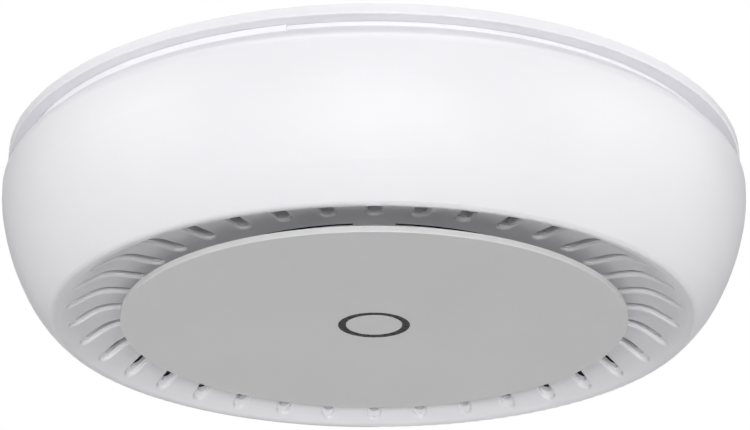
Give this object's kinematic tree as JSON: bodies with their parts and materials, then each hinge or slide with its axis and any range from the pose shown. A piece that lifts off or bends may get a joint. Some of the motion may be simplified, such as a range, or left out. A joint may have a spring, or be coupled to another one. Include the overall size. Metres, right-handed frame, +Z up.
{
  "type": "ceiling access point",
  "caption": "Round white ceiling wireless access point: bayonet ceiling plate, bowl-shaped housing with radial vent slots, slightly dished centre disc with a push button in a light ring.",
  "frame": {"origin": "centre of the face of the ceiling plate that rests on the ceiling", "axes": "+Z up into the ceiling, -Z down into the room; the port well and the cable opening lie towards +Y"},
  "size_m": [0.191, 0.191, 0.0424],
  "materials": {
    "plate_plastic": "fine satin, moulded white",
    "shell_plastic": "satin, moulded white",
    "disc_plastic": "fine matte, moulded white",
    "light_guide": "smoked translucent light guide",
    "screw_steel": "zinc plated",
    "switch_plastic": "matte black",
    "plunger_plastic": "matte",
    "reset_plastic": "matte dark grey",
    "circuit_board": "green solder mask",
    "led_lens": "frosted lens",
    "socket_plastic": "natural nylon",
    "ribbon_film": "flat polyester film",
    "spreader_aluminium": "mill finish",
    "jack_plastic": "matte black",
    "tinned_steel": "tinned sheet",
    "gold_contact": "gold plated",
    "component_black": "moulded epoxy",
    "capacitor_can": "sleeveless can",
    "crystal_can": "metal lid",
    "thermal_pad": "soft silicone",
    "antenna_sheet": "tinned pressed sheet",
    "coax_jacket": "thin fluoropolymer jacket"
  },
  "bodies": {
    "ceiling_base": {"ceiling_plate": "plate_plastic"},
    "housing": {"antenna_2g_left": "antenna_sheet", "antenna_2g_right": "antenna_sheet", "antenna_5g_front": "antenna_sheet", "antenna_5g_rear": "antenna_sheet", "antenna_screws": "screw_steel", "back_cover": "shell_plastic", "back_cover_screws": "screw_steel", "board_screws": "screw_steel", "center_cover": "disc_plastic", "center_cover_screws": "screw_steel", "coax_lead_2g_left": "coax_jacket", "coax_lead_2g_right": "coax_jacket", "coax_lead_5g_front": "coax_jacket", "coax_lead_5g_rear": "coax_jacket", "coax_sockets": "gold_contact", "crystals": "crystal_can", "electrolytic_capacitors": "capacitor_can", "ethernet_contacts": "gold_contact", "ethernet_insert_left": "jack_plastic", "ethernet_insert_right": "jack_plastic", "ethernet_shield_left": "tinned_steel", "ethernet_shield_right": "tinned_steel", "flash_chip": "component_black", "heat_spreader": "spreader_aluminium", "light_board": "circuit_board", "light_board_leds": "led_lens", "light_board_screws": "screw_steel", "light_board_socket": "socket_plastic", "light_ring": "light_guide", "main_board": "circuit_board", "main_board_socket": "socket_plastic", "memory_chips": "component_black", "mode_switch": "switch_plastic", "network_transformers": "component_black", "outer_shell": "shell_plastic", "power_chips": "component_black", "power_inductors": "component_black", "power_transformer": "component_black", "processor_chip": "component_black", "radio_chip_2g": "component_black", "radio_chip_5g": "component_black", "reset_switch": "switch_plastic", "ribbon_lead": "ribbon_film", "shield_can_2g": "tinned_steel", "shield_can_5g": "tinned_steel", "thermal_pads": "thermal_pad"},
    "mode_button": {"mode_button": "disc_plastic"},
    "mode_plunger": {"mode_switch_plunger": "plunger_plastic"},
    "reset_button": {"reset_button": "reset_plastic"},
    "reset_plunger": {"reset_switch_plunger": "plunger_plastic"}
  },
  "joints": [
    {"name": "housing_twist", "type": "hinge", "parent": "ceiling_base", "child": "housing", "pos_m": [0, 0, 0], "axis": [0, 0, 1], "range_deg": [0, 15]},
    {"name": "mode_button_press", "type": "slide", "parent": "housing", "child": "mode_button", "axis": [0, 0, 1], "range_m": [0, 0.00035], "stiffness_N_per_m": 400, "springref_m": -0.0012},
    {"name": "mode_plunger_press", "type": "slide", "parent": "housing", "child": "mode_plunger", "axis": [0, 0, 1], "range_m": [0, 0.00035]},
    {"name": "reset_button_press", "type": "slide", "parent": "housing", "child": "reset_button", "axis": [0, 0, -1], "range_m": [0, 0.00035], "stiffness_N_per_m": 400, "springref_m": -0.0012},
    {"name": "reset_plunger_press", "type": "slide", "parent": "housing", "child": "reset_plunger", "axis": [0, 0, -1], "range_m": [0, 0.00035]}
  ],
  "couplings": [
    {"joint": "mode_plunger_press", "follows": "mode_button_press", "ratio": 1},
    {"joint": "reset_plunger_press", "follows": "reset_button_press", "ratio": 1}
  ]
}
